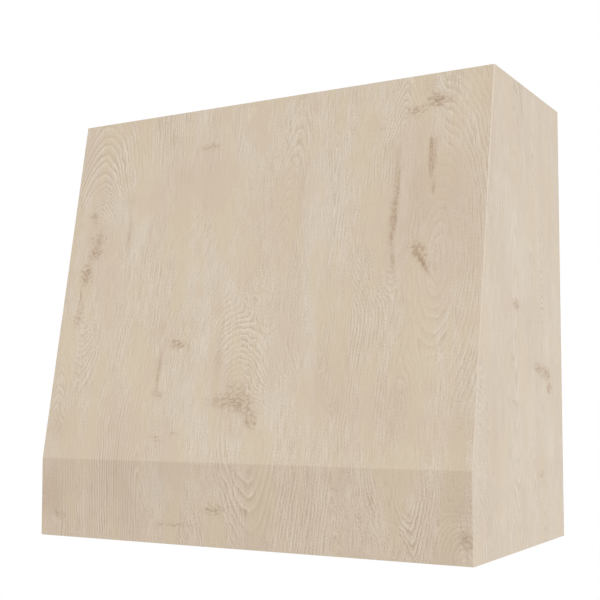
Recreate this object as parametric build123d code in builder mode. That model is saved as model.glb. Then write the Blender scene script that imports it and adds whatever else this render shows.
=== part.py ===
from build123d import *
import os
from math import atan2, cos, radians, sin, tan

# Wall-hung wooden range hood cover: a sloped front over an upright apron, flat sides, and an open
# top and back for the duct. Mitred boards form the outside. Inside, ledgers carry a shelf with the
# cut-out for a ventilation insert, and the upper back rail hangs on a bevelled cleat on the wall.
# X runs across the cover, +Y points at the wall and +Z up. The origin is on the wall plane, midway
# between the two screw holes of the wall cleat.

os.makedirs("parts", exist_ok=True)

# Driving sizes, in millimetres and degrees

width = 914.4
height = 850.0
bottom_depth = 495.0
top_depth = 370.0
apron_height = 152.0
board = 19.0                  # thickness of every panel, rail, shelf and stretcher
edge_ease = 1.5               # how far each outer front corner is taken off, along the face
edge_band = 1.0               # veneer glued under the lower edges

screw_line_drop = 115.0       # from the top edge down to the wall cleat's screw holes
hanging_rail_height = 150.0
bottom_rail_height = 100.0
stretcher_depth = 90.0

wall_cleat_thickness = 18.0
wall_cleat_height = 70.0
wall_cleat_setback = 30.0     # from each side panel to the wall cleat's end
hanging_cleat_height = 64.0
hanging_cleat_setback = 20.0
cleat_bevel = 45.0            # slope of the face on which one cleat hangs on the other
cleat_clearance = 1.0         # from each cleat to the rail or the wall that it slides past

ledger = 19.0                 # square strips under the shelf
shelf_recess = 38.0           # from the lower edge up to the shelf
cutout_side_border = 82.6     # shelf left beside the insert's cut-out
cutout_front_border = 76.0
cutout_back_border = 91.0
cutout_corner_radius = 6.0

corner_strip = 25.0           # glue strips between the slope and the sides
apron_block = 38.0            # legs of the glue blocks between the apron and the sides
crease_reach = 38.0           # how far the crease strip runs up and down from the crease
crease_strip_depth = 25.0
crease_strip_gap = 2.0        # from the crease strip's ends to the apron blocks

stud_spacing = 406.4
wall_hole_radius = 2.75
wall_hole_head_radius = 5.5
lower_wall_hole_height = 78.0
insert_hole_radius = 2.0
insert_hole_margin = 15.0     # from the cut-out's edges out to the insert's fixing holes

dowel_radius = 4.0
dowel_length = 30.0
dowel_in_side = 12.0
dowel_edge_margin = 25.0      # from a rail's edges to its outer dowels
dowel_end_bevel = 1.0
dowel_slack = 0.05            # all round the dowel
dowel_end_slack = 0.5

screw_length = 32.0
screw_radius = 2.1
screw_head_radius = 4.1
screw_point_length = 4.0
screw_point_radius = 0.4
screw_socket = 2.5
screw_socket_depth = 1.6
screw_head_angle = 90.0
screw_hole_slack = 0.25       # round the screw in the piece under its head
screw_head_slack = 0.1
pilot_slack = 0.05            # round the screw in the piece that it bites
pilot_end_slack = 1.0

ledger_screw_margin = 90.0    # from the ends of the front and back ledgers to their outer screws
side_ledger_screw_margin = 60.0
shelf_screw_margin = 50.0
side_shelf_screw_margin = 110.0
cleat_screw_margin = 40.0

# Places worked out from the driving sizes

top = screw_line_drop
bottom = top - height
crease = bottom + apron_height
lean = atan2(bottom_depth - top_depth, top - crease)

inner_half = width / 2 - board
apron_inside = -bottom_depth + board
rail_inside = -board
cleat_space = wall_cleat_thickness + cleat_clearance
shelf_low = bottom + shelf_recess
shelf_high = shelf_low + board
ledger_middle = shelf_low - ledger / 2

cutout_half = inner_half - cutout_side_border
cutout_front = apron_inside + cutout_front_border
cutout_back = rail_inside - cutout_back_border

sides = {"left": -1, "right": 1}

# Each front corner is a mitre whose sharp edge is taken off. These are the depths behind a board's
# outer face at which its outline changes, with how far its mitred edges are moved in there.
corner_steps = [(0, edge_ease), (edge_ease / 2, edge_ease / 2), (board, board)]


def crease_height(inset):
    """Height of the crease between apron and slope on the faces that lie inset behind them."""
    return crease - inset * tan(lean / 2)


def slope_y(z, inset):
    """Where the face that lies inset behind the sloped front is at height z."""
    return -bottom_depth + (z - crease) * tan(lean) + inset / cos(lean)


def bevel_height(y):
    """Height of the bevel on which the cleats meet, at distance y from the wall plane."""
    return wall_cleat_height / 2 - (y + wall_cleat_thickness) * tan(radians(cleat_bevel))


def spread(start, end, count, margin):
    """Evenly spaced places between start and end, the outer ones margin inside them."""
    pitch = (end - start - 2 * margin) / (count - 1)
    return [start + margin + i * pitch for i in range(count)]


def finish(piece, name):
    """Names a finished piece and writes it to its file."""
    piece.part.label = name
    export_step(piece.part, f"parts/{name}.step")


# Rail and stretcher ends: the dowels that join them to the side panels, as (y, z)

stretcher_back = slope_y(top, board) + stretcher_depth
stretcher_dowels = [
    (slope_y(top - board, board) + dowel_edge_margin, top - board / 2),
    (stretcher_back - dowel_edge_margin, top - board / 2),
]
hanging_rail_dowels = [
    (-cleat_space - board / 2, z)
    for z in spread(top - hanging_rail_height, top, 2, dowel_edge_margin)
]
bottom_rail_dowels = [
    (-board / 2, z)
    for z in spread(bottom, bottom + bottom_rail_height, 2, dowel_edge_margin)
]
dowel_places = stretcher_dowels + hanging_rail_dowels + bottom_rail_dowels


def side_dowel_planes(side):
    """Dowel holes in a side panel's inner face, facing into the cover."""
    return [Plane(origin=(side * inner_half, y, z), z_dir=(-side, 0, 0)) for y, z in dowel_places]


def end_dowel_planes(places):
    """Dowel holes in both ends of a rail, facing out of it."""
    return [
        Plane(origin=(side * inner_half, y, z), z_dir=(side, 0, 0))
        for side in sides.values()
        for y, z in places
    ]


# Screw places: each plane lies at a screw's head and faces out of it

front_ledger_screws = [
    Plane(origin=(x, apron_inside + ledger, ledger_middle), z_dir=(0, 1, 0))
    for x in spread(-inner_half, inner_half, 4, ledger_screw_margin)
]
back_ledger_screws = [
    Plane(origin=(x, rail_inside - ledger, ledger_middle), z_dir=(0, -1, 0))
    for x in spread(-inner_half, inner_half, 4, ledger_screw_margin)
]
side_ledger_screws = {
    side: [
        Plane(origin=(side * (inner_half - ledger), y, ledger_middle), z_dir=(-side, 0, 0))
        for y in spread(apron_inside + ledger, rail_inside - ledger, 3, side_ledger_screw_margin)
    ]
    for side in sides.values()
}
front_shelf_screws = [
    Plane(origin=(x, apron_inside + ledger / 2, shelf_high), z_dir=(0, 0, 1))
    for x in spread(-inner_half, inner_half, 5, shelf_screw_margin)
]
back_shelf_screws = [
    Plane(origin=(x, rail_inside - ledger / 2, shelf_high), z_dir=(0, 0, 1))
    for x in spread(-inner_half, inner_half, 5, shelf_screw_margin)
]
side_shelf_screws = {
    side: [
        Plane(origin=(side * (inner_half - ledger / 2), y, shelf_high), z_dir=(0, 0, 1))
        for y in spread(apron_inside + ledger, rail_inside - ledger, 2, side_shelf_screw_margin)
    ]
    for side in sides.values()
}
ledger_screws = front_ledger_screws + back_ledger_screws + side_ledger_screws[-1] + side_ledger_screws[1]
shelf_screws = front_shelf_screws + back_shelf_screws + side_shelf_screws[-1] + side_shelf_screws[1]

hanging_cleat_half = inner_half - hanging_cleat_setback
hanging_cleat_top = bevel_height(-cleat_space) + hanging_cleat_height
cleat_screw_height = hanging_cleat_top - hanging_cleat_height / 2
cleat_screws = [
    Plane(origin=(x, -cleat_clearance, cleat_screw_height), z_dir=(0, 1, 0))
    for x in spread(-hanging_cleat_half, hanging_cleat_half, 6, cleat_screw_margin)
]


def wall_screw_planes(y, z):
    """A pair of wall screw holes, one stud apart, facing out of the front face at y."""
    return [
        Plane(origin=(x, y, z), z_dir=(0, -1, 0)) for x in (-stud_spacing / 2, stud_spacing / 2)
    ]


screw_hole = screw_radius + screw_hole_slack
screw_countersink = screw_head_radius + screw_head_slack
pilot_hole = screw_radius + pilot_slack
pilot_depth = screw_length + pilot_end_slack
dowel_hole = dowel_radius + dowel_slack


# Side panels: outline with its front edges moved in, lofted from the outer face to the inner one

def side_outline(inset):
    return [
        (0, bottom + edge_band),
        (-bottom_depth + inset, bottom + edge_band),
        (-bottom_depth + inset, crease_height(inset)),
        (slope_y(top, inset), top),
        (0, top),
    ]


for name, side in sides.items():
    with BuildPart() as side_panel:
        for depth, inset in corner_steps:
            with BuildSketch(Plane.YZ.offset(side * (width / 2 - depth))):
                with BuildLine():
                    Polyline(*side_outline(inset), close=True)
                make_face()
        loft(ruled=True)
        with Locations(*side_dowel_planes(side)):
            Hole(dowel_hole, dowel_in_side + dowel_end_slack)
        with Locations(*side_ledger_screws[side]):
            Hole(pilot_hole, pilot_depth)
    finish(side_panel, f"{name}_side_panel")

# Sloped front: rectangles on faces parallel to the slope, each from the crease to the top edge

with BuildPart() as slope_panel:
    for depth, inset in corner_steps:
        foot = crease_height(depth)
        slope_face = Plane(
            origin=(0, slope_y(foot, depth), foot), x_dir=(1, 0, 0), z_dir=(0, -cos(lean), sin(lean))
        )
        with BuildSketch(slope_face):
            Rectangle(width - 2 * inset, (top - foot) / cos(lean), align=(Align.CENTER, Align.MIN))
    loft(ruled=True)
finish(slope_panel, "slope_panel")

# Apron: rectangles on faces parallel to its front, each up to the crease

with BuildPart() as apron_panel:
    for depth, inset in corner_steps:
        foot = bottom + edge_band
        apron_face = Plane(
            origin=(0, -bottom_depth + depth, foot), x_dir=(1, 0, 0), z_dir=(0, -1, 0)
        )
        with BuildSketch(apron_face):
            Rectangle(
                width - 2 * inset, crease_height(depth) - foot, align=(Align.CENTER, Align.MIN)
            )
    loft(ruled=True)
    with Locations(*front_ledger_screws):
        Hole(pilot_hole, pilot_depth)
finish(apron_panel, "apron_panel")

# Edge bands: veneer strips under the apron and the sides, mitred like the boards above them

with BuildPart() as apron_edge_band:
    with BuildSketch(Plane.XY.offset(bottom)):
        with BuildLine():
            Polyline(
                *[(-width / 2 + inset, -bottom_depth + depth) for depth, inset in corner_steps],
                *[(width / 2 - inset, -bottom_depth + depth) for depth, inset in corner_steps[::-1]],
                close=True,
            )
        make_face()
    extrude(amount=edge_band)
finish(apron_edge_band, "apron_edge_band")

for name, side in sides.items():
    with BuildPart() as side_edge_band:
        with BuildSketch(Plane.XY.offset(bottom)):
            with BuildLine():
                Polyline(
                    *[
                        (side * (width / 2 - depth), -bottom_depth + inset)
                        for depth, inset in corner_steps
                    ],
                    (side * inner_half, 0),
                    (side * width / 2, 0),
                    close=True,
                )
            make_face()
        extrude(amount=edge_band)
    finish(side_edge_band, f"{name}_side_edge_band")

# Insert shelf: a board between the apron, the sides and the bottom rail, cut out for the insert

with BuildPart() as insert_shelf:
    with BuildSketch(Plane.XY.offset(shelf_low)):
        with BuildLine():
            Polyline(
                (-inner_half, apron_inside),
                (inner_half, apron_inside),
                (inner_half, rail_inside),
                (-inner_half, rail_inside),
                close=True,
            )
        make_face()
        with Locations((0, (cutout_front + cutout_back) / 2)):
            RectangleRounded(
                2 * cutout_half, cutout_back - cutout_front, cutout_corner_radius, mode=Mode.SUBTRACT
            )
        with Locations((0, (cutout_front + cutout_back) / 2)):
            with GridLocations(
                2 * (cutout_half + insert_hole_margin),
                cutout_back - cutout_front + 2 * insert_hole_margin,
                2,
                2,
            ):
                Circle(insert_hole_radius, mode=Mode.SUBTRACT)
    extrude(amount=board)
    with Locations(*shelf_screws):
        CounterSinkHole(screw_hole, screw_countersink, board, screw_head_angle)
finish(insert_shelf, "insert_shelf")

# Front and back ledgers run from side to side, and the side ledgers between them

long_ledgers = {
    "front": (apron_inside + ledger / 2, front_ledger_screws, front_shelf_screws),
    "back": (rail_inside - ledger / 2, back_ledger_screws, back_shelf_screws),
}
for name, (middle, own_screws, screws_from_above) in long_ledgers.items():
    with BuildPart() as long_ledger:
        with BuildSketch(Plane.XY.offset(shelf_low)):
            with Locations((0, middle)):
                Rectangle(2 * inner_half, ledger)
        extrude(amount=-ledger)
        with Locations(*own_screws):
            CounterSinkHole(screw_hole, screw_countersink, ledger, screw_head_angle)
        with Locations(*screws_from_above):
            Hole(pilot_hole, pilot_depth)
    finish(long_ledger, f"{name}_ledger")

for name, side in sides.items():
    with BuildPart() as side_ledger:
        with BuildSketch(Plane.XY.offset(shelf_low)):
            with Locations((side * (inner_half - ledger / 2), (apron_inside + rail_inside) / 2)):
                Rectangle(ledger, rail_inside - apron_inside - 2 * ledger)
        extrude(amount=-ledger)
        with Locations(*side_ledger_screws[side]):
            CounterSinkHole(screw_hole, screw_countersink, ledger, screw_head_angle)
        with Locations(*side_shelf_screws[side]):
            Hole(pilot_hole, pilot_depth)
    finish(side_ledger, f"{name}_ledger")

# Bottom rail: upright board against the wall between the sides, with two holes for wall screws

with BuildPart() as back_bottom_rail:
    with BuildSketch(Plane.XZ.offset(-rail_inside)):
        with Locations((0, bottom)):
            Rectangle(2 * inner_half, bottom_rail_height, align=(Align.CENTER, Align.MIN))
    extrude(amount=rail_inside)
    with Locations(*wall_screw_planes(rail_inside, bottom + lower_wall_hole_height)):
        CounterSinkHole(wall_hole_radius, wall_hole_head_radius, board, screw_head_angle)
    with Locations(*back_ledger_screws):
        Hole(pilot_hole, pilot_depth)
    with Locations(*end_dowel_planes(bottom_rail_dowels)):
        Hole(dowel_hole, dowel_length - dowel_in_side + dowel_end_slack)
finish(back_bottom_rail, "back_bottom_rail")

# Hanging rail: upright board at the top, far enough from the wall to leave room for the cleats

with BuildPart() as hanging_rail:
    with BuildSketch(Plane.XZ.offset(cleat_space)):
        with Locations((0, top)):
            Rectangle(2 * inner_half, hanging_rail_height, align=(Align.CENTER, Align.MAX))
    extrude(amount=board)
    with Locations(*cleat_screws):
        Hole(pilot_hole, pilot_depth)
    with Locations(*end_dowel_planes(hanging_rail_dowels)):
        Hole(dowel_hole, dowel_length - dowel_in_side + dowel_end_slack)
finish(hanging_rail, "hanging_rail")

# Hanging cleat: screwed to the hanging rail, its bevel pointing down and back, towards the wall

with BuildPart() as hanging_cleat:
    with BuildSketch(Plane.YZ.offset(-hanging_cleat_half)):
        with BuildLine():
            Polyline(
                (-cleat_space, bevel_height(-cleat_space)),
                (-cleat_clearance, bevel_height(-cleat_clearance)),
                (-cleat_clearance, hanging_cleat_top),
                (-cleat_space, hanging_cleat_top),
                close=True,
            )
        make_face()
    extrude(amount=2 * hanging_cleat_half)
    with Locations(*cleat_screws):
        CounterSinkHole(
            screw_hole, screw_countersink, cleat_space - cleat_clearance, screw_head_angle
        )
finish(hanging_cleat, "hanging_cleat")

# Wall cleat: flat against the wall, its bevel pointing up and forward under the hanging cleat

wall_cleat_half = inner_half - wall_cleat_setback
with BuildPart() as wall_cleat:
    with BuildSketch(Plane.YZ.offset(-wall_cleat_half)):
        with BuildLine():
            Polyline(
                (0, -wall_cleat_height / 2),
                (0, bevel_height(0)),
                (-wall_cleat_thickness, bevel_height(-wall_cleat_thickness)),
                (-wall_cleat_thickness, -wall_cleat_height / 2),
                close=True,
            )
        make_face()
    extrude(amount=2 * wall_cleat_half)
    with Locations(*wall_screw_planes(-wall_cleat_thickness, 0)):
        CounterSinkHole(
            wall_hole_radius, wall_hole_head_radius, wall_cleat_thickness, screw_head_angle
        )
finish(wall_cleat, "wall_cleat")

# Top stretcher: lies flat between the sides, its front edge bevelled to the slope

with BuildPart() as top_front_stretcher:
    with BuildSketch(Plane.YZ.offset(-inner_half)):
        with BuildLine():
            Polyline(
                (slope_y(top, board), top),
                (slope_y(top - board, board), top - board),
                (stretcher_back, top - board),
                (stretcher_back, top),
                close=True,
            )
        make_face()
    extrude(amount=2 * inner_half)
    with Locations(*end_dowel_planes(stretcher_dowels)):
        Hole(dowel_hole, dowel_length - dowel_in_side + dowel_end_slack)
finish(top_front_stretcher, "top_front_stretcher")

# Slope strips: square strips in the corners of slope and sides, from the crease to the stretcher

for name, side in sides.items():
    with BuildPart() as slope_strip:
        with BuildSketch(Plane.YZ.offset(side * inner_half)):
            with BuildLine():
                Polyline(
                    (slope_y(crease_height(board), board), crease_height(board)),
                    (slope_y(top - board, board), top - board),
                    (slope_y(top - board, board + corner_strip), top - board),
                    (slope_y(crease_height(board), board + corner_strip), crease_height(board)),
                    close=True,
                )
            make_face()
        extrude(amount=-side * corner_strip)
    finish(slope_strip, f"{name}_slope_strip")

# Apron blocks: triangular blocks that stand on the shelf in the corners of apron and sides

for name, side in sides.items():
    with BuildPart() as corner_block:
        with BuildSketch(Plane.XY.offset(shelf_high)):
            with BuildLine():
                Polyline(
                    (side * inner_half, apron_inside),
                    (side * (inner_half - apron_block), apron_inside),
                    (side * inner_half, apron_inside + apron_block),
                    close=True,
                )
            make_face()
        extrude(amount=crease_height(board) - shelf_high)
    finish(corner_block, f"{name}_apron_block")

# Crease strip: one length glued behind the crease, flat at its back

crease_strip_half = inner_half - apron_block - crease_strip_gap
crease_strip_low = crease_height(board) - crease_reach
crease_strip_high = crease_height(board) + crease_reach
crease_strip_back = apron_inside + crease_strip_depth
with BuildPart() as crease_strip:
    with BuildSketch(Plane.YZ.offset(-crease_strip_half)):
        with BuildLine():
            Polyline(
                (apron_inside, crease_strip_low),
                (apron_inside, crease_height(board)),
                (slope_y(crease_strip_high, board), crease_strip_high),
                (crease_strip_back, crease_strip_high),
                (crease_strip_back, crease_strip_low),
                close=True,
            )
        make_face()
    extrude(amount=2 * crease_strip_half)
finish(crease_strip, "crease_strip")

# Dowels: round pins between the side panels and the ends of the rails and the stretcher

with BuildPart() as rail_dowels:
    for side in sides.values():
        with BuildSketch(Plane.YZ.offset(side * (inner_half + dowel_in_side))):
            with Locations(*dowel_places):
                Circle(dowel_radius)
        extrude(amount=-side * dowel_length)
    chamfer(rail_dowels.edges().filter_by(GeomType.CIRCLE), dowel_end_bevel)
finish(rail_dowels, "rail_dowels")

# Wood screws: a countersunk head with a square socket, a plain body and a point

screw_head_height = (screw_head_radius - screw_radius) / tan(radians(screw_head_angle / 2))
with BuildPart() as wood_screw:
    with BuildSketch(Plane.XZ):
        with BuildLine():
            Polyline(
                (0, 0),
                (screw_head_radius, 0),
                (screw_radius, -screw_head_height),
                (screw_radius, -screw_length + screw_point_length),
                (screw_point_radius, -screw_length),
                (0, -screw_length),
                close=True,
            )
        make_face()
    revolve(axis=Axis.Z)
    with BuildSketch(Plane.XY):
        Rectangle(screw_socket, screw_socket)
    extrude(amount=-screw_socket_depth, mode=Mode.SUBTRACT)

screw_groups = {
    "hanging_cleat_screws": cleat_screws,
    "ledger_screws": ledger_screws,
    "shelf_screws": shelf_screws,
}
for name, places in screw_groups.items():
    with BuildPart() as screws:
        with Locations(*places):
            add(wood_screw.part)
    finish(screws, name)
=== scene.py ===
import math

import bpy
import numpy as np
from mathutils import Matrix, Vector


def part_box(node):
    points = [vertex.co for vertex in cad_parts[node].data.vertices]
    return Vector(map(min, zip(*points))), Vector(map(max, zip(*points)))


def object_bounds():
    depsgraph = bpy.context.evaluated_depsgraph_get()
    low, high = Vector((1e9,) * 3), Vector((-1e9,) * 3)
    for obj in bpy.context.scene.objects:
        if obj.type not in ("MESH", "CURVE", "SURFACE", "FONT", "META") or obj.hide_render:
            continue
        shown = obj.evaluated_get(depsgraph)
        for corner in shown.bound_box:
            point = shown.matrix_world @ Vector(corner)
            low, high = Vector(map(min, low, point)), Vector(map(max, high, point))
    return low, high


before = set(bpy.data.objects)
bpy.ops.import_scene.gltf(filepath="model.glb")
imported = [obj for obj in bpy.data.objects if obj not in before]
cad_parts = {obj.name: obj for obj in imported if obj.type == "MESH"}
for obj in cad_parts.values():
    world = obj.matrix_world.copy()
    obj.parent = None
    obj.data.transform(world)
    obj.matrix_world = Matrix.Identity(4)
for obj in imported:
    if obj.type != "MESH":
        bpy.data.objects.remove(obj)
cad_box = [list(corner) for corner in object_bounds()]


# Wall cleat and hanging cleat.
# Birch plywood strips with a bevelled edge each: one is screwed to the wall, the other to the
# cover's upper rail, and the cover hangs by hooking its bevel over the one on the wall.

class Figure:
    """A number that varies over a piece, held as a socket of its material's nodes. Sums,
    differences and products of figures become the Math nodes that work them out."""

    def __init__(self, tree, socket):
        self.tree = tree
        self.socket = socket

    def work(self, kind, *others):
        """The Math node of that kind, with this figure first and then other figures or numbers."""
        node = self.tree.nodes.new("ShaderNodeMath")
        node.operation = kind
        for place, value in zip(node.inputs, (self, *others)):
            feed(self.tree, place, value)
        return Figure(self.tree, node.outputs[0])

    def __add__(self, other):
        return self.work("ADD", other)

    def __sub__(self, other):
        return self.work("SUBTRACT", other)

    def __rsub__(self, number):
        return self.work("MULTIPLY_ADD", -1.0, number)

    def __mul__(self, other):
        return self.work("MULTIPLY", other)

    def __abs__(self):
        return self.work("ABSOLUTE")

    def rise(self, low, high):
        """Goes smoothly from 0 where this figure is low to 1 where it is high."""
        node = self.tree.nodes.new("ShaderNodeMapRange")
        node.interpolation_type = "SMOOTHSTEP"
        node.inputs["From Min"].default_value = low
        node.inputs["From Max"].default_value = high
        feed(self.tree, node.inputs["Value"], self)
        return Figure(self.tree, node.outputs["Result"])


def feed(tree, place, value):
    """Links a figure or socket to a node's input, or sets a plain value there."""
    if isinstance(value, Figure):
        tree.links.new(value.socket, place)
    elif isinstance(value, bpy.types.NodeSocket):
        tree.links.new(value, place)
    else:
        place.default_value = value


def colour(red, green, blue):
    """The colour that reads as these 0 to 255 values on a screen."""
    def linear(value):
        share = value / 255
        return share / 12.92 if share <= 0.04045 else ((share + 0.055) / 1.055) ** 2.4
    return (linear(red), linear(green), linear(blue), 1.0)


def on_piece(tree, kind):
    """Three figures: x, y and z of the place on the piece in metres, which is its "Object" place,
    or of the way that its surface faces there, its "Normal"."""
    where = tree.nodes.new("ShaderNodeTexCoord")
    parts = tree.nodes.new("ShaderNodeSeparateXYZ")
    tree.links.new(where.outputs[kind], parts.inputs[0])
    return [Figure(tree, socket) for socket in parts.outputs]


def start_finish(name):
    """A new material: itself, its nodes, its shader and the place on the piece."""
    finish = bpy.data.materials.new(name)
    finish.use_nodes = True
    tree = finish.node_tree
    return finish, tree, tree.nodes["Principled BSDF"], on_piece(tree, "Object")


def sheet(tree, across, along, deep=0.0):
    """The vector (across, along, deep) that a pattern is laid out on."""
    node = tree.nodes.new("ShaderNodeCombineXYZ")
    for place, value in zip(node.inputs, (across, along, deep)):
        feed(tree, place, value)
    return node.outputs[0]


def cloud(tree, on, patches, detail=2.0, rough=0.5):
    """Noise from 0 to 1 over a sheet, with so many patches a metre each way: two numbers for a
    flat pattern and three for one that goes through the wood."""
    stretch = tree.nodes.new("ShaderNodeVectorMath")
    stretch.operation = "MULTIPLY"
    stretch.inputs[1].default_value = (*patches, 0.0)[:3]
    feed(tree, stretch.inputs[0], on)
    node = tree.nodes.new("ShaderNodeTexNoise")
    node.noise_dimensions = "2D" if len(patches) == 2 else "3D"
    node.inputs["Scale"].default_value = 1.0
    node.inputs["Detail"].default_value = detail
    node.inputs["Roughness"].default_value = rough
    feed(tree, node.inputs["Vector"], stretch.outputs[0])
    return Figure(tree, node.outputs["Fac"])


def shade(tree, share, first, second):
    """The colour that goes from the first to the second as share goes from 0 to 1."""
    node = tree.nodes.new("ShaderNodeMix")
    node.data_type = "RGBA"
    places = {place.identifier: place for place in node.inputs}
    feed(tree, places["Factor_Float"], share)
    feed(tree, places["A_Color"], first)
    feed(tree, places["B_Color"], second)
    results = {result.identifier: result for result in node.outputs}
    return results["Result_Color"]


def press(tree, shader, height, depth):
    """Makes a height from 0 to 1 stand for a relief of that depth in metres."""
    node = tree.nodes.new("ShaderNodeBump")
    node.inputs["Distance"].default_value = depth
    feed(tree, node.inputs["Height"], height)
    feed(tree, shader.inputs["Normal"], node.outputs["Normal"])


def give(finish, *pieces):
    """Puts a finish on CAD nodes."""
    for piece in pieces:
        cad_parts[piece].material_slots[0].material = finish


def plies(tree, depth, on):
    """The layers on a board's cut edge. The depth under its face is counted in layers, every other
    one is cut across its grain, darker and dotted, and a thin glue line parts them."""
    layer = 0.00146
    turn = (depth * (1 / layer)).work("PINGPONG", 1.0)
    crossed = turn.rise(0.42, 0.58)
    glue = abs(turn - 0.5).rise(0.10, 0.02)
    streaks = cloud(tree, on, (25.0, 25.0, 700.0), 3.0, 0.6)
    dots = cloud(tree, on, (700.0, 700.0, 700.0), 2.0, 0.7)
    along = shade(tree, streaks, colour(201, 173, 136), colour(221, 199, 166))
    across = shade(tree, dots, colour(172, 136, 98), colour(208, 176, 136))
    layered = shade(tree, crossed, along, across)
    return shade(tree, glue * 0.55, layered, colour(132, 100, 70))


def birch_ply(name, piece):
    """Birch plywood. Its layers are counted along the piece's thinnest side, and its faces have the
    broad soft flames of a peeled log: rings of a slow noise, drawn out along the piece."""
    flames = 26.0
    low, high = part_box(piece)
    size = [high[k] - low[k] for k in range(3)]
    thin = size.index(min(size))
    long = size.index(max(size))
    wide = 3 - thin - long
    finish, tree, shader, xyz = start_finish(name)
    faces = on_piece(tree, "Normal")
    solid = sheet(tree, *xyz)
    flat = sheet(tree, xyz[wide], xyz[long])
    hill = cloud(tree, flat, (9.0, 1.6), 1.5, 0.5)
    flame = (hill * flames).work("PINGPONG", 1.0)
    fibre = cloud(tree, flat, (420.0, 18.0), 3.0, 0.6)
    fleck = cloud(tree, flat, (520.0, 70.0), 1.0, 0.5).rise(0.66, 0.76)
    tone = flame * 0.45 + fibre * 0.55
    face = shade(tree, tone, colour(199, 175, 140), colour(220, 202, 172))
    face = shade(tree, fleck * 0.35, face, colour(178, 143, 104))
    edge = plies(tree, xyz[thin] - low[thin], solid)
    on_face = abs(faces[thin]).rise(0.75, 0.9)
    feed(tree, shader.inputs["Base Color"], shade(tree, on_face, edge, face))
    feed(tree, shader.inputs["Roughness"], fibre * 0.2 + 0.65)
    shader.inputs["Specular IOR Level"].default_value = 0.2
    press(tree, shader, fibre - fleck * 0.5, 0.00008)
    return finish


give(birch_ply("birch_wall_cleat", "wall_cleat"), "wall_cleat")
give(birch_ply("birch_hanging_cleat", "hanging_cleat"), "hanging_cleat")


# Rails and stretcher.
# Birch plywood boards between the sides: two upright ones against the wall and a flat one across
# the top behind the sloped board, glued and dowelled at their ends.

for rail in ("hanging_rail", "back_bottom_rail", "top_front_stretcher"):
    give(birch_ply("birch_" + rail, rail), rail)


# Side boards.
# Oak-veneered plywood with the grain upright, mitred to the front boards. The veneer is pale
# knotty oak under a matt lacquer, and the inner face has a plain backing veneer.

oak_tones = {
    "knot": colour(162, 134, 108),
    "haze": colour(199, 178, 154),
    "line": colour(191, 172, 148),
    "even": colour(212, 197, 177),
    "pale": colour(225, 213, 198),
    "gold": colour(213, 196, 170),
    "fade": colour(215, 203, 187),
    "blush": colour(207, 187, 167),
    # Painted shade: the eased corner edges take this darker tone, so that the highlight the lamps
    # give them stays faint.
    "corner": colour(196, 183, 169),
}


def seen_from(tree, on, middle, tilt, scale):
    """The vector of a sheet as seen from a middle: moved there, turned by the tilt in degrees and
    divided by the scale."""
    local = tree.nodes.new("ShaderNodeMapping")
    local.vector_type = "TEXTURE"
    local.inputs["Location"].default_value = middle
    local.inputs["Rotation"].default_value = (0.0, 0.0, math.radians(tilt))
    local.inputs["Scale"].default_value = scale
    feed(tree, local.inputs["Vector"], on)
    return local.outputs[0]


def from_axis(tree, on, across, up, depth, tilt, slimness, width=1.0):
    """The distance from a point that lies deep under the face, divided by its width across the
    grain and by its slimness along it, so that an endless slimness gives the distance from an
    upright axis."""
    local = seen_from(tree, on, (across, up, depth), tilt, (width, slimness, 1.0))
    length = tree.nodes.new("ShaderNodeVectorMath")
    length.operation = "LENGTH"
    feed(tree, length.inputs[0], local)
    return Figure(tree, length.outputs["Value"])


def rings_round(tree, across, up, eyes, arches):
    """How far out of the heart of the figure a place lies: the least over its eyes and arches,
    which run together smoothly. An eye is closed all round. An arch is the distance from an
    upright axis, to which a slope is added above one height and another below a second one, so
    that its rings close in arches at both ends. The slopes set in softly past those heights, and
    ease off further out, where the lines stay upright."""
    endless = 1000.0
    soft_start = 0.05
    ease = 4.5
    melt = 0.02

    def beyond(height):
        over = height.work("MAXIMUM", 0.0)
        return (over * over).work("DIVIDE", over + soft_start)

    on = sheet(tree, across, up)
    fields = [from_axis(tree, on, *eye) for eye in eyes]
    for x, low, high, depth, tilt, width, climb, fall in arches:
        away = from_axis(tree, on, x, (low + high) / 2, depth, tilt, endless, width) - depth
        closing = beyond(up - high) * climb + beyond(low - up) * fall
        fields.append(away + closing.work("DIVIDE", closing * ease + 1.0))
    nearest = fields[0]
    for away in fields[1:]:
        nearest = nearest.work("SMOOTH_MIN", away, melt)
    return nearest


def marks(tree, on, spots):
    """The sum of soft spots (across, up, half width, half height, tilt, strength). Each falls
    evenly from its strength at its middle to nothing at its rim. Each spot's nodes are made in the
    order in which they feed each other, because the renderer holds too many values otherwise."""
    total = None
    for across, up, half_width, half_height, tilt, strength in spots:
        local = seen_from(tree, on, (across, up, 0.0), tilt, (half_width, half_height, 1.0))
        spot = tree.nodes.new("ShaderNodeTexGradient")
        spot.gradient_type = "SPHERICAL"
        feed(tree, spot.inputs["Vector"], local)
        one = Figure(tree, spot.outputs["Fac"])
        total = one * strength if total is None else one.work("MULTIPLY_ADD", strength, total)
    return total


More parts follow.
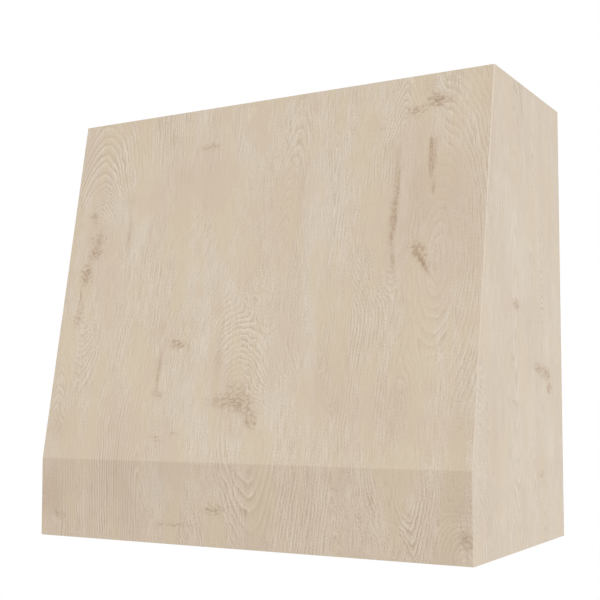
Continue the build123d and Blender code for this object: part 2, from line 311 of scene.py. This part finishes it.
def oak_board(name, across, outside, figure, tones):
    """Oak veneer on plywood. across is 0 where the board's width lies along x and 1 along y, and
    outside is a point of its face and the way out of it. The distance from the heart of the
    figure, bent by slow noise and combed by fine noise, is counted in rings, each with a thin pale
    line and a thin dark one. Fibre, bands, patches and pores lie over them. The knots and streaks
    are soft spots, filled with lines of level from another noise."""
    rings_a_metre = 165.0
    finish, tree, shader, xyz = start_finish(name)
    faces = on_piece(tree, "Normal")
    wide = xyz[across]
    up = xyz[2]
    flat = sheet(tree, wide, up)

    sway = cloud(tree, flat, (4.0, 1.5), 1.0) - 0.5
    ripple = cloud(tree, flat, (48.0, 22.0), 1.0) - 0.5
    comb = cloud(tree, flat, (420.0, 34.0), 1.0) - 0.5
    bent_wide = wide + sway * 0.030 + ripple * 0.006
    bent_up = up + ripple * 0.016 + comb * 0.005
    straight = sheet(tree, bent_wide, up)

    away = rings_round(tree, bent_wide, bent_up, figure["eyes"], figure["arches"])
    spacing = cloud(tree, sheet(tree, away, up), (60.0, 0.8), 2.0)
    ring = (away * rings_a_metre + spacing * 1.2).work("FRACT")
    pale_line = ring.rise(0.00, 0.14) * ring.rise(0.34, 0.16)
    dark_line = ring.rise(0.26, 0.42) * ring.rise(0.78, 0.44)
    line = pale_line - dark_line
    clear = cloud(tree, straight, (24.0, 5.0), 2.0).rise(0.28, 0.66)
    bold = marks(tree, flat, figure["bold"])
    fibre = cloud(tree, straight, (430.0, 26.0), 3.0, 0.66)
    band = cloud(tree, straight, (30.0, 1.6), 2.0, 0.55)
    patch = cloud(tree, flat, (9.0, 5.5), 3.0, 0.55)
    speck = cloud(tree, flat, (520.0, 330.0), 2.0, 0.7)
    pores = cloud(tree, straight, (1400.0, 70.0), 1.0).rise(0.60, 0.72)

    light = (
        line * (clear * 0.33 + bold * 0.48) * away.rise(0.002, 0.018)
        + (fibre - 0.5) * 1.60
        + (band - 0.5) * 0.36
        + (patch - 0.5) * 0.32
        + (speck - 0.5) * 1.60
        - pores * 0.08
        + 0.54
    )
    fade = marks(tree, straight, figure["fades"])
    light = light + fade * 0.10
    face = shade(tree, light.rise(-0.25, 0.65), tones["line"], tones["even"])
    face = shade(tree, light.rise(0.35, 1.25), face, tones["pale"])
    face = shade(tree, fade * 0.45, face, tones["fade"])
    gold = cloud(tree, straight, (16.0, 4.0), 3.0, 0.6).rise(0.47, 0.60)
    face = shade(tree, gold * 0.55, face, tones["gold"])
    blush = cloud(tree, flat, (11.0, 7.0), 3.0, 0.6).rise(0.50, 0.64) * 0.6
    blush = blush + marks(tree, flat, figure["blush"])
    face = shade(tree, blush.work("MINIMUM", 1.0) * 0.50, face, tones["blush"])

    torn = cloud(tree, flat, (55.0, 90.0), 2.0, 0.5)
    frayed = cloud(tree, flat, (120.0, 160.0), 3.0, 0.6)
    ragged = sheet(tree, wide + (frayed - 0.5) * 0.040, up + (frayed - 0.5) * -0.026)
    spot = marks(tree, ragged, figure["knots"])
    swirl = (torn * 6.0).work("PINGPONG", 1.0).rise(0.30, 1.0)
    streak = marks(tree, straight, figure["streaks"])
    split = (fibre * 0.55 + frayed * 0.45).rise(0.44, 0.58)
    haze = spot.rise(0.0, 1.2) * 0.34 + streak.rise(0.0, 1.3) * 0.45
    face = shade(tree, haze, face, tones["haze"])
    brown = (
        spot.rise(0.25, 1.3) * (swirl * 0.52 + 0.06)
        + spot.rise(1.2, 2.1) * 0.30
        + streak.rise(0.2, 1.3) * (split * 0.5 + 0.12)
    )
    face = shade(tree, brown.work("MINIMUM", 0.85), face, tones["knot"])

    point, way = outside
    out = faces[0] * way[0] + faces[1] * way[1] + faces[2] * way[2]
    # Painted shade on the eased corner edges, which turn from the face towards the next board:
    # their colour goes three quarters of the way to the darker corner tone, which damps the
    # highlight they catch from the lamps.
    face = shade(tree, out.rise(0.95, 0.85) * 0.75, face, tones["corner"])
    inward = [(point[k] - xyz[k]) * way[k] for k in range(3)]
    under = inward[0] + inward[1] + inward[2]
    layers = plies(tree, under, sheet(tree, *xyz))
    backing = shade(tree, fibre, colour(196, 174, 146), colour(214, 194, 166))
    board = shade(tree, out.rise(-0.5, -0.8), layers, backing)
    feed(tree, shader.inputs["Base Color"], shade(tree, out.rise(0.30, 0.50), board, face))

    dull = (fibre - 0.5) * 0.15 + pores * 0.10 + out.rise(0.65, 0.45) * 0.20 + 0.48
    feed(tree, shader.inputs["Roughness"], dull)
    shader.inputs["Specular IOR Level"].default_value = 0.35
    press(tree, shader, fibre * 0.4 + line * clear * 0.2 - pores * 0.5 - brown * 0.5, 0.00010)
    return finish


(left, front, bottom), (right, wall, top) = cad_box


def on_right_side(across, down):
    """A place on the right side, in millimetres from the apron's face and down from the top."""
    return front + across / 1000, top - down / 1000


def spots_at(place, *spots):
    """Spots given as (across, down, half width, half height, tilt, strength), in millimetres."""
    return [
        (*place(across, down), half_width / 1000, half_height / 1000, tilt, strength)
        for across, down, half_width, half_height, tilt, strength in spots
    ]


def eyes_at(place, *eyes):
    """Eyes given as (across, down, depth, tilt, slimness), with lengths in millimetres."""
    return [
        (*place(across, down), depth / 1000, tilt, slimness)
        for across, down, depth, tilt, slimness in eyes
    ]


def arches_at(place, *arches):
    """Arches given as (across, upper end, lower end, depth, tilt, width, climb, fall), with lengths
    in millimetres: the axis is straight between its ends, and the arches close past them."""
    return [
        (place(across, 0)[0], place(0, lower)[1], place(0, upper)[1], depth / 1000, *shape)
        for across, upper, lower, depth, *shape in arches
    ]


right_side_figure = {
    "eyes": eyes_at(
        on_right_side,
        (225, 412, 14, 0, 7.0),
        (-15, 870, 10, 0, 2.0),
        (330, -60, 20, 0, 5.0),
    ),
    "arches": arches_at(on_right_side, (374, 468, 550, 14, 0, 1.0, 0.85, 0.60)),
    "knots": spots_at(
        on_right_side,
        (221, 413, 20, 13, 0, 2.0),
        (235, 412, 90, 16, 0, 0.5),
        (200, 508, 16, 12, 0, 1.0),
        (185, 485, 34, 50, 0, 0.45),
        (368, 529, 64, 19, -6, 1.3),
        (335, 520, 26, 14, 0, 0.9),
        (402, 534, 22, 14, 0, 0.8),
        (412, 560, 20, 17, 0, 1.9),
        (385, 540, 80, 50, 0, 0.4),
        (210, 588, 24, 6, 0, 1.3),
        (356, 722, 30, 8, 4, 1.5),
        (275, 746, 50, 4, 0, 0.8),
        (222, 30, 26, 12, 5, 0.9),
        (310, 25, 40, 12, 0, 0.3),
    ),
    "streaks": spots_at(
        on_right_side,
        (150, 600, 14, 80, 0, 0.6),
        (430, 250, 30, 160, 0, 0.5),
        (100, 640, 50, 130, 0, 0.5),
        (445, 700, 24, 110, -14, 0.5),
        (70, 500, 60, 120, 0, 0.3),
        (300, 130, 80, 60, 0, 0.3),
    ),
    "fades": spots_at(
        on_right_side,
        (250, 300, 90, 160, 0, 0.8),
        (280, 640, 110, 110, 0, 0.8),
        (420, 680, 36, 60, 0, 0.8),
    ),
    "bold": spots_at(
        on_right_side,
        (372, 405, 44, 90, 0, 1.1),
        (430, 690, 50, 100, 0, 0.5),
        (36, 822, 90, 80, 0, 1.5),
    ),
    "blush": spots_at(
        on_right_side,
        (240, 90, 160, 60, 0, 0.8),
        (100, 640, 60, 150, 0, 0.7),
        (430, 260, 50, 140, 0, 0.5),
        (250, 415, 160, 30, 0, 0.6),
    ),
}
left_side_figure = {
    "eyes": eyes_at(
        on_right_side,
        (150, 620, 14, 0, 3.6),
        (300, 900, 16, 0, 2.6),
    ),
    "arches": arches_at(on_right_side, (380, 120, 300, 18, 3, 1.0, 0.5, 0.4)),
    "knots": spots_at(
        on_right_side,
        (150, 610, 20, 14, 0, 1.2),
        (164, 640, 34, 22, 20, 0.6),
        (382, 190, 14, 22, 0, 1.0),
        (376, 240, 40, 60, 0, 0.3),
        (290, 430, 30, 6, 0, 0.8),
        (430, 520, 14, 4, 0, 0.6),
        (250, 760, 16, 10, 0, 0.8),
    ),
    "streaks": spots_at(
        on_right_side,
        (392, 330, 12, 110, 0, 0.9),
        (140, 500, 16, 90, 0, 0.7),
        (240, 200, 50, 150, 0, 0.3),
        (330, 650, 60, 140, 0, 0.3),
    ),
    "fades": spots_at(
        on_right_side,
        (300, 320, 60, 200, 0, 0.8),
        (220, 560, 50, 150, 0, 0.6),
    ),
    "bold": spots_at(
        on_right_side,
        (150, 520, 70, 160, 0, 0.6),
        (380, 120, 60, 130, 0, 0.5),
    ),
    "blush": spots_at(
        on_right_side,
        (150, 620, 90, 120, 0, 0.7),
        (420, 300, 60, 200, 0, 0.5),
    ),
}
side_tones = dict(
    oak_tones,
    line=colour(187, 170, 148),
    even=colour(208, 194, 176),
    pale=colour(222, 210, 195),
    gold=colour(209, 193, 169),
    blush=colour(205, 186, 168),
)
left_face = ((left, wall, top), (-1.0, 0.0, 0.0))
right_face = ((right, wall, top), (1.0, 0.0, 0.0))
oak_left = oak_board("oak_left_side", 1, left_face, left_side_figure, side_tones)
oak_right = oak_board("oak_right_side", 1, right_face, right_side_figure, side_tones)
give(oak_left, "left_side_panel")
give(oak_right, "right_side_panel")


# Front boards.
# The sloped board and the upright apron under it, of the same veneered plywood. One run of veneer
# goes down both, so the figure passes the crease.

slope_corners = [corner.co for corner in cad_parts["slope_panel"].data.vertices]
slope_top = max(slope_corners, key=lambda corner: corner.z - corner.y).y
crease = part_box("apron_panel")[1].z
lean = math.atan2(slope_top - front, top - crease)
slope_length = math.hypot(slope_top - front, top - crease)


def on_front(across, down):
    """A place on the front, in millimetres from its left edge and down its face from the top: down
    the slope first, and past the crease down the apron."""
    on_slope = min(down / 1000, slope_length)
    on_apron = max(down / 1000 - slope_length, 0.0)
    return left + across / 1000, top - on_slope * math.cos(lean) - on_apron


front_figure = {
    "eyes": eyes_at(
        on_front,
        (64, 330, 16, 0, 3.4),
        (450, 600, 5, 0, 1.8),
        (829, 348, 10, 0, 3.2),
        (895, 855, 8, 0, 1.4),
    ),
    "arches": arches_at(
        on_front,
        (72, 225, 400, 50, -2, 0.7, 1.45, 0.90),
        (20, 680, 1000, 12, 0, 1.0, 0.50, 0.5),
        (468, 620, 670, 24, 4, 0.5, 1.40, 2.0),
        (480, 620, 680, 50, 5, 1.0, 2.0, 0.30),
        (512, 320, 335, 30, -4, 0.8, 0.45, 1.30),
        (790, 655, 735, 6, 4, 1.0, 0.25, 0.50),
        (752, 140, 312, 8, 0, 1.0, 0.55, 0.90),
    ),
    "knots": spots_at(
        on_front,
        (50, 206, 20, 18, 0, 1.2),
        (78, 250, 40, 60, 24, 0.85),
        (66, 288, 30, 20, 0, 1.5),
        (66, 258, 28, 16, 0, 0.6),
        (53, 331, 20, 38, 0, 1.8),
        (46, 400, 16, 60, 0, 1.0),
        (44, 431, 26, 22, 0, 0.6),
        (90, 410, 26, 26, 0, 0.4),
        (331, 83, 40, 10, 0, 1.3),
        (244, 56, 26, 18, 0, 0.7),
        (285, 150, 80, 90, 0, 0.42),
        (303, 484, 26, 13, 0, 1.5),
        (285, 484, 70, 14, 0, 0.5),
        (269, 581, 26, 17, 0, 1.1),
        (428, 596, 60, 18, 0, 0.8),
        (448, 600, 100, 80, 0, 0.6),
        (446, 574, 44, 26, 0, 0.6),
        (466, 602, 40, 26, -25, 0.65),
        (484, 631, 18, 20, 0, 1.4),
        (810, 51, 25, 21, 0, 2.2),
        (795, 24, 20, 30, -20, 0.7),
        (772, 68, 28, 13, 14, 1.9),
        (790, 326, 24, 26, 30, 1.2),
        (803, 350, 20, 44, 28, 1.0),
        (275, 665, 24, 6, 0, 1.5),
        (312, 656, 20, 5, 0, 1.3),
        (415, 794, 42, 10, 8, 1.6),
        (47, 818, 20, 13, 0, 1.5),
        (325, 825, 80, 5, 4, 1.2),
        (906, 819, 26, 28, 0, 1.4),
        (665, 747, 30, 6, 4, 0.7),
        (345, 678, 60, 50, 0, 0.3),
    ),
    "streaks": spots_at(
        on_front,
        (158, 255, 9, 60, 0, 0.9),
        (152, 185, 8, 50, 0, 0.7),
        (48, 372, 3, 34, 0, 1.4),
        (268, 535, 9, 70, 0, 1.2),
        (803, 352, 5, 38, 28, 1.5),
        (804, 142, 4, 30, 0, 1.0),
        (806, 184, 5, 22, 0, 1.3),
        (812, 214, 6, 20, 0, 0.9),
        (748, 204, 3, 34, 0, 1.6),
        (746, 256, 5, 32, 0, 1.9),
        (746, 296, 4, 26, 0, 1.8),
        (752, 345, 6, 34, 3, 1.0),
        (742, 165, 12, 60, 0, 0.6),
        (780, 240, 60, 190, 0, 0.45),
        (808, 150, 13, 50, 0, 0.8),
        (743, 262, 13, 100, 0, 0.95),
        (850, 230, 90, 230, 0, 0.35),
        (30, 650, 120, 150, 0, 0.6),
        (890, 640, 60, 160, 0, 0.55),
        (10, 790, 120, 90, 0, 0.6),
        (890, 780, 110, 90, 0, 0.5),
        (402, 510, 16, 110, 0, 0.7),
        (190, 730, 100, 190, 0, 0.4),
        (640, 560, 100, 180, 0, 0.35),
        (780, 600, 60, 130, 0, 0.4),
        (890, 330, 70, 300, 0, 0.35),
        (545, 200, 16, 130, 0, 0.5),
    ),
    "fades": spots_at(
        on_front,
        (600, 300, 60, 260, 0, 1.0),
        (188, 225, 18, 100, 0, 1.0),
        (192, 150, 40, 130, 0, 0.9),
        (125, 190, 24, 60, 0, 0.8),
        (520, 610, 44, 60, 0, 0.7),
        (400, 110, 150, 150, 0, 0.45),
        (300, 750, 90, 70, 0, 1.0),
        (335, 350, 80, 100, 0, 0.9),
        (600, 560, 16, 200, 0, 0.9),
        (70, 120, 70, 80, 0, 0.4),
        (330, 600, 90, 160, 0, 0.5),
        (30, 690, 40, 34, 0, 0.8),
    ),
    "bold": spots_at(
        on_front,
        (76, 90, 100, 150, 0, 1.15),
        (70, 480, 70, 110, 0, 0.6),
        (470, 480, 90, 160, 0, 0.4),
        (505, 760, 70, 110, 0, 0.8),
        (165, 750, 110, 180, 0, 1.3),
        (200, 660, 60, 90, 0, 0.6),
        (800, 800, 50, 60, 0, 0.4),
        (880, 830, 50, 50, 0, 0.7),
        (790, 250, 70, 190, 0, 0.5),
        (520, 260, 70, 150, 0, 0.35),
        (30, 690, 60, 36, 0, 0.6),
        (60, 560, 50, 36, 0, 0.4),
        (165, 60, 60, 90, 0, 0.5),
        (830, 90, 90, 90, 0, 0.2),
    ),
    "blush": spots_at(
        on_front,
        (300, 140, 130, 110, 0, 0.9),
        (810, 270, 130, 240, 0, 1.0),
        (500, 260, 90, 180, 0, 0.7),
        (190, 700, 130, 170, 0, 0.9),
        (640, 580, 110, 160, 0, 0.6),
        (90, 270, 90, 120, 0, 0.6),
    ),
}
slope_face = ((left, slope_top, top), (0.0, -math.cos(lean), math.sin(lean)))
apron_face = ((left, front, crease), (0.0, -1.0, 0.0))
# Painted light: the apron is the same veneer as the slope, but its even and pale tones are a little
# lighter, most of all in red, to make up for the lamps lighting the upright apron less than the
# slope.
apron_tones_painted_lighter = dict(
    oak_tones,
    line=colour(190, 170, 146),
    even=colour(216, 198, 177),
    pale=colour(229, 215, 198),
    gold=colour(216, 198, 171),
)
give(oak_board("oak_slope", 0, slope_face, front_figure, oak_tones), "slope_panel")
give(oak_board("oak_apron", 0, apron_face, front_figure, apron_tones_painted_lighter), "apron_panel")


# Edge bands.
# Strips of the same oak, one millimetre thick, glued under the lower edges of the apron and the
# sides and trimmed flush. Their grain runs along them.

def oak_strip(name, along):
    """Oak with its grain along one axis: fine noise drawn out that way, and pore dashes."""
    finish, tree, shader, xyz = start_finish(name)
    flat = sheet(tree, xyz[1 - along], xyz[along], xyz[2])
    fibre = cloud(tree, flat, (480.0, 9.0, 480.0), 3.0, 0.6)
    pores = cloud(tree, flat, (1400.0, 60.0, 1400.0), 1.0).rise(0.60, 0.72)
    face = shade(tree, fibre, oak_tones["line"], oak_tones["pale"])
    face = shade(tree, pores * 0.4, face, oak_tones["knot"])
    feed(tree, shader.inputs["Base Color"], face)
    feed(tree, shader.inputs["Roughness"], fibre * 0.2 + 0.42)
    press(tree, shader, fibre - pores * 0.5, 0.00008)
    return finish


give(oak_strip("oak_front_band", 0), "apron_edge_band")
give(oak_strip("oak_side_band", 1), "left_side_edge_band", "right_side_edge_band")


# Corner strips, corner blocks and ledgers.
# Planed softwood, glued into the corners of the case behind the mitres and, as ledgers, screwed
# round it to carry the shelf.

def softwood(name, along, heart):
    """Planed softwood sawn from a log whose heart runs beside the piece, along its length: the
    distance from the heart is counted in rings, pale early wood into darker late wood."""
    rings_a_metre = 330.0
    finish, tree, shader, xyz = start_finish(name)
    side = Vector((0.0, 1.0, 0.0)) if abs(along[1]) < 0.5 else Vector((1.0, 0.0, 0.0))
    length = Vector(along).normalized()
    first = side.cross(length).normalized()
    second = length.cross(first)

    def reach(way, start=0.0):
        return xyz[0] * way[0] + xyz[1] * way[1] + xyz[2] * way[2] - start

    run = reach(length)
    bend = cloud(tree, sheet(tree, run, 0.0), (3.0, 1.0), 1.0) - 0.5
    a = reach(first, heart) + bend * 0.02
    b = reach(second, heart)
    away = (a * a + b * b).work("SQRT")
    ring = (away * rings_a_metre).work("FRACT")
    late = ring.rise(0.35, 0.92) * ring.rise(1.0, 0.95)
    fibre = cloud(tree, sheet(tree, a, b, run), (600.0, 600.0, 12.0), 3.0, 0.6)
    wood = shade(tree, late, colour(226, 204, 166), colour(190, 146, 98))
    wood = shade(tree, fibre * 0.5, wood, colour(214, 186, 144))
    feed(tree, shader.inputs["Base Color"], wood)
    feed(tree, shader.inputs["Roughness"], fibre * 0.2 + 0.62)
    shader.inputs["Specular IOR Level"].default_value = 0.25
    press(tree, shader, fibre * 0.6 + late * 0.4, 0.00012)
    return finish


slope_way = (0.0, -math.sin(lean), -math.cos(lean))
softwood_across = softwood("softwood_across", (1.0, 0.0, 0.0), 0.03)
softwood_back = softwood("softwood_front_to_back", (0.0, 1.0, 0.0), 0.05)
give(softwood("softwood_slope", slope_way, -0.02), "left_slope_strip", "right_slope_strip")
give(softwood("softwood_upright", (0.0, 0.0, 1.0), 0.04), "left_apron_block", "right_apron_block")
give(softwood_across, "crease_strip", "front_ledger", "back_ledger")
give(softwood_back, "left_ledger", "right_ledger")


# Shelf.
# Birch plywood board with a cut-out for the ventilation insert, screwed down on the ledgers.

give(birch_ply("birch_shelf", "insert_shelf"), "insert_shelf")


# Dowels and screws.
# Turned beech dowels glued into the ends of the rails, and zinc-plated countersunk screws with a
# socket in the head.

dowel_finish, tree, shader, xyz = start_finish("beech")
flecks = cloud(tree, sheet(tree, *xyz), (120.0, 900.0, 900.0), 2.0)
beech = shade(tree, flecks.rise(0.4, 0.7), colour(222, 184, 140), colour(188, 140, 98))
feed(tree, shader.inputs["Base Color"], beech)
feed(tree, shader.inputs["Roughness"], flecks * 0.2 + 0.45)
press(tree, shader, flecks, 0.00006)
give(dowel_finish, "rail_dowels")

screw_finish, tree, shader, xyz = start_finish("zinc_plated_steel")
film = cloud(tree, sheet(tree, *xyz), (260.0, 260.0, 260.0), 3.0)
scratches = cloud(tree, sheet(tree, *xyz), (3000.0, 400.0, 3000.0), 2.0)
plating = shade(tree, film.rise(0.3, 0.7), colour(160, 161, 158), colour(186, 178, 156))
feed(tree, shader.inputs["Base Color"], plating)
shader.inputs["Metallic"].default_value = 1.0
feed(tree, shader.inputs["Roughness"], scratches * 0.3 + 0.20)
press(tree, shader, scratches, 0.00002)
give(screw_finish, "hanging_cleat_screws", "ledger_screws", "shelf_screws")


# Floor, background and lamps.
# A round pale floor, as far under the cover as a kitchen's, and a white background. A soft main
# lamp shines from the front, right and above, a weaker one from the left, and the background adds
# even light from all round.

floor_drop = 1.65
floor_reach = 6.0
floor_corners = 96
turn = np.linspace(0, 2 * np.pi, floor_corners, endpoint=False)
height = np.full(floor_corners, bottom - floor_drop)
rim = np.stack([floor_reach * np.cos(turn), floor_reach * np.sin(turn), height], axis=1)
floor_mesh = bpy.data.meshes.new("floor")
floor_mesh.from_pydata(rim.tolist(), [], [tuple(range(floor_corners))])
floor = bpy.data.objects.new("floor", floor_mesh)
bpy.context.scene.collection.objects.link(floor)
floor_finish, tree, shader, xyz = start_finish("pale_floor")
mottle = cloud(tree, sheet(tree, *xyz), (2.0, 2.0, 2.0), 2.0)
lit = shade(tree, mottle, (0.48, 0.48, 0.48, 1), (0.52, 0.52, 0.52, 1))
shown = shade(tree, mottle, (0.88, 0.88, 0.88, 1), (0.90, 0.90, 0.90, 1))
ray = tree.nodes.new("ShaderNodeLightPath")
feed(tree, shader.inputs["Base Color"], shade(tree, ray.outputs["Is Camera Ray"], lit, shown))
shader.inputs["Roughness"].default_value = 0.9
floor_mesh.materials.append(floor_finish)

world = bpy.data.worlds.new("studio")
bpy.context.scene.world = world
world.use_nodes = True
tree = world.node_tree
ray = tree.nodes.new("ShaderNodeLightPath")
seen = Figure(tree, ray.outputs["Is Camera Ray"])
seen = seen.work("MAXIMUM", Figure(tree, ray.outputs["Is Glossy Ray"]))
seen = seen.work("MAXIMUM", Figure(tree, ray.outputs["Is Transmission Ray"]))
fill = tree.nodes["Background"]
fill.inputs["Color"].default_value = (1, 1, 1, 1)
fill.inputs["Strength"].default_value = 0.32
white = tree.nodes.new("ShaderNodeBackground")
white.inputs["Color"].default_value = (1, 1, 1, 1)
white.inputs["Strength"].default_value = 1.0
either = tree.nodes.new("ShaderNodeMixShader")
feed(tree, either.inputs[0], seen)
feed(tree, either.inputs[1], fill.outputs[0])
feed(tree, either.inputs[2], white.outputs[0])
feed(tree, tree.nodes["World Output"].inputs["Surface"], either.outputs[0])

softness = math.radians(40)
lamps = (
    ("key", 3.45, (0.62, -0.445, 0.80)),
    ("fill", 0.9, (-0.80, 0.35, 0.45)),
)
for name, power, toward in lamps:
    lamp = bpy.data.lights.new(name, "SUN")
    lamp.energy = power
    lamp.angle = softness
    lamp_holder = bpy.data.objects.new(name, lamp)
    lamp_holder.rotation_mode = "QUATERNION"
    lamp_holder.rotation_quaternion = Vector(toward).to_track_quat("Z", "Y")
    bpy.context.scene.collection.objects.link(lamp_holder)


# Camera.
# It stands in front of the cover, to its right and a little above its lower edge, and looks
# slightly up.

lens = bpy.data.cameras.new("camera")
lens.sensor_width = 36.0
lens.lens = 66.555
lens.shift_y = 0.05
camera = bpy.data.objects.new("camera", lens)
camera.location = (1.1025, -2.1822, -0.4764)
look_up = math.radians(3.844)
look_left = math.radians(29.736)
camera.rotation_euler = (math.pi / 2 + look_up, 0.0, look_left)
bpy.context.scene.collection.objects.link(camera)
bpy.context.scene.camera = camera
bpy.context.scene.view_settings.view_transform = "Standard"
